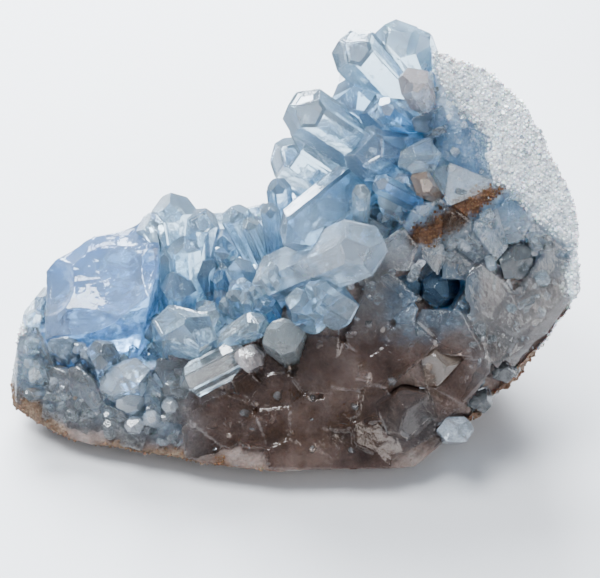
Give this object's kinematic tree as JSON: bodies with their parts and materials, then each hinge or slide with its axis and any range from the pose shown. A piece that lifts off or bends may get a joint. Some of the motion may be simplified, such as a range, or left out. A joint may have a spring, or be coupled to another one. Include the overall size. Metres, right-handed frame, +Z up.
{
  "type": "celestite specimen",
  "caption": "Broken geode piece with a leaning rock wall and an open hollow lined with pale blue see-through crystals; stands on a flat underside as a display mineral.",
  "frame": {"origin": "under the middle of the piece, on the surface it stands on", "axes": "+Z up, +X along the specimen from its low end to its tall wall, the broken section faces -Y"},
  "size_m": [0.1234, 0.0676, 0.0829],
  "materials": {
    "geode_rock": "granular crust and glassy broken section with rusty stains",
    "crystal_pale": "clear to milky pale blue crystal",
    "crystal_blue": "clear mid blue crystal",
    "crystal_deep": "deep slate blue crystal",
    "crystal_smoky": "smoky grey-brown crystal"
  },
  "bodies": {
    "root": {"geode_wall": "geode_rock", "clear_point": "crystal_pale", "blue_blade": "crystal_blue", "hero_point": "crystal_pale", "top_blade": "crystal_pale", "dark_blade": "crystal_deep", "left_slab": "crystal_pale", "knob": "crystal_pale", "oval_crystal": "crystal_pale", "blue_mass": "crystal_blue", "back_clear": "crystal_pale", "pink_block": "crystal_smoky", "teal_chip": "crystal_deep", "pale_back": "crystal_pale", "tall_prism": "crystal_blue", "short_prism": "crystal_blue", "ring_prism": "crystal_pale", "striped_prism": "crystal_pale", "back_mass": "crystal_blue", "grey_knob": "crystal_smoky", "tilted_point": "crystal_pale", "teal_point": "crystal_deep", "bright_chip": "crystal_pale", "window_prism": "crystal_pale", "square_points": "crystal_pale", "dome_crystal": "crystal_blue", "floor_blue": "crystal_blue", "floor_teal": "crystal_deep", "clear_round": "crystal_pale", "front_left_point": "crystal_pale", "front_chip": "crystal_smoky", "tan_block": "crystal_smoky", "pocket_blue": "crystal_deep", "pocket_point": "crystal_deep", "tan_window": "crystal_smoky", "wall_window": "crystal_smoky", "lower_chip": "crystal_smoky", "lying_prism": "crystal_smoky", "pinkish_chip": "crystal_smoky", "corner_block": "crystal_pale", "step_block": "crystal_pale", "heel_block": "crystal_smoky", "druse_01": "crystal_pale", "druse_02": "crystal_blue", "druse_03": "crystal_pale", "druse_04": "crystal_pale", "druse_05": "crystal_blue", "druse_06": "crystal_pale", "druse_07": "crystal_pale", "druse_08": "crystal_blue", "druse_09": "crystal_pale", "druse_10": "crystal_pale", "druse_11": "crystal_blue", "druse_12": "crystal_pale", "druse_13": "crystal_pale", "druse_14": "crystal_blue", "druse_15": "crystal_pale", "druse_16": "crystal_pale", "druse_17": "crystal_blue", "druse_18": "crystal_pale"}
  },
  "joints": []
}
